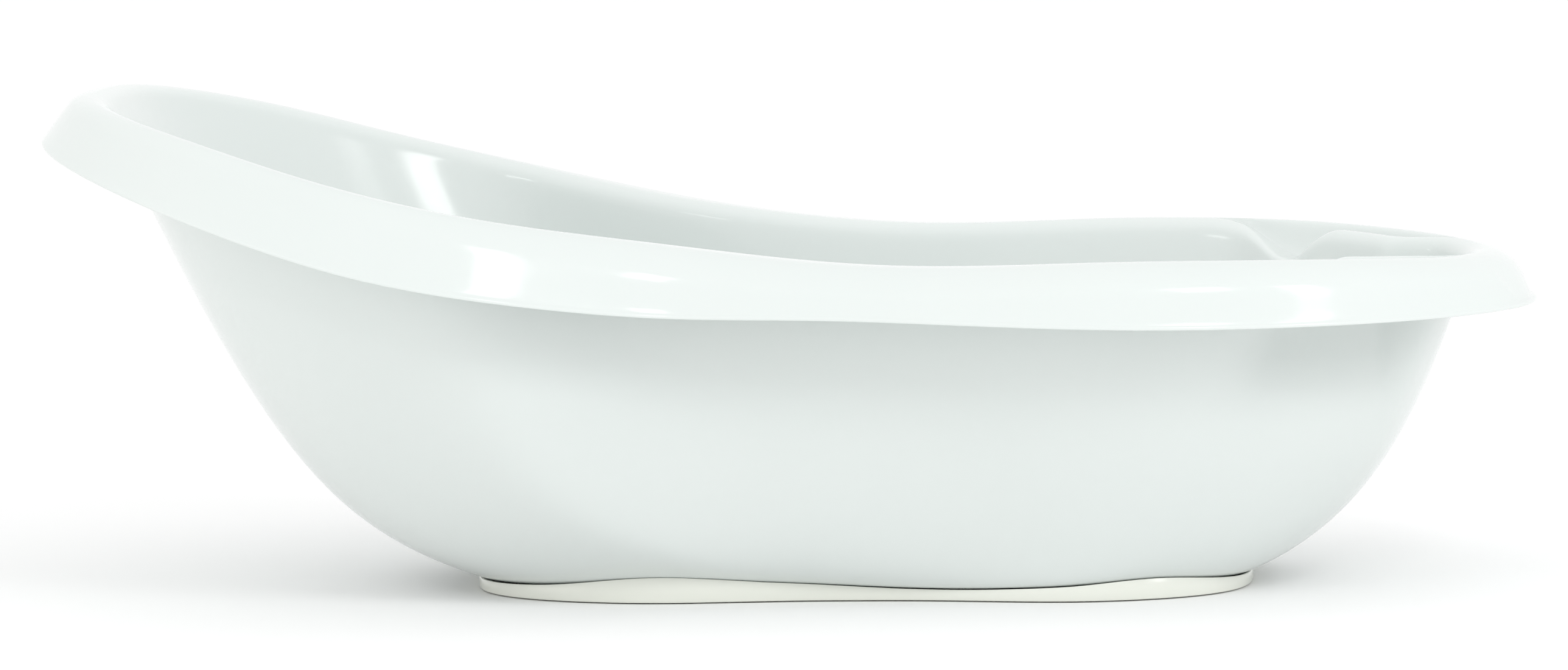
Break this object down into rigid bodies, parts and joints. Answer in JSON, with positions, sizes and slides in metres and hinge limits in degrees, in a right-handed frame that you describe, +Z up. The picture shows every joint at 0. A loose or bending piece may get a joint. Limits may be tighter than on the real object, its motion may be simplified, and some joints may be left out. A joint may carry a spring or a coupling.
{
  "type": "baby bathtub",
  "caption": "Moulded baby bathtub with a sloped back, broad skirted rim, two soap dishes, pouring spout, separate foot ring, non-slip pads and a drain plug.",
  "frame": {"origin": "on the ground, under the middle of the tub's box", "axes": "+X along the tub from the sloped head end to the toe end, +Y to the side, +Z up"},
  "size_m": [0.8997, 0.5166, 0.303],
  "materials": {
    "tub_plastic": "gloss",
    "ring_plastic": "gloss",
    "pad_rubber": "matte",
    "screw_steel": "satin",
    "drain_plastic": "gloss",
    "plug_plastic": "gloss",
    "seal_rubber": "matte"
  },
  "bodies": {
    "tub": {"tub_shell": "tub_plastic", "foot_ring": "ring_plastic", "foot_pad_1": "pad_rubber", "foot_pad_2": "pad_rubber", "foot_pad_3": "pad_rubber", "foot_pad_4": "pad_rubber", "foot_pad_5": "pad_rubber", "foot_pad_6": "pad_rubber", "ring_screws": "screw_steel", "drain_seat": "drain_plastic", "seat_gasket": "seal_rubber", "seat_lock_nut": "drain_plastic"},
    "plug": {"drain_plug": "plug_plastic", "plug_seal": "seal_rubber"},
    "pull_ring": {"pull_ring": "plug_plastic"}
  },
  "joints": [
    {"name": "plug_lift", "type": "slide", "parent": "tub", "child": "plug", "axis": [0, 0, 1], "range_m": [0, 0.06]},
    {"name": "pull_ring_fold", "type": "hinge", "parent": "plug", "child": "pull_ring", "pos_m": [0.195, 0, 0.0163], "axis": [0, 1, 0], "range_deg": [0, 180]}
  ]
}
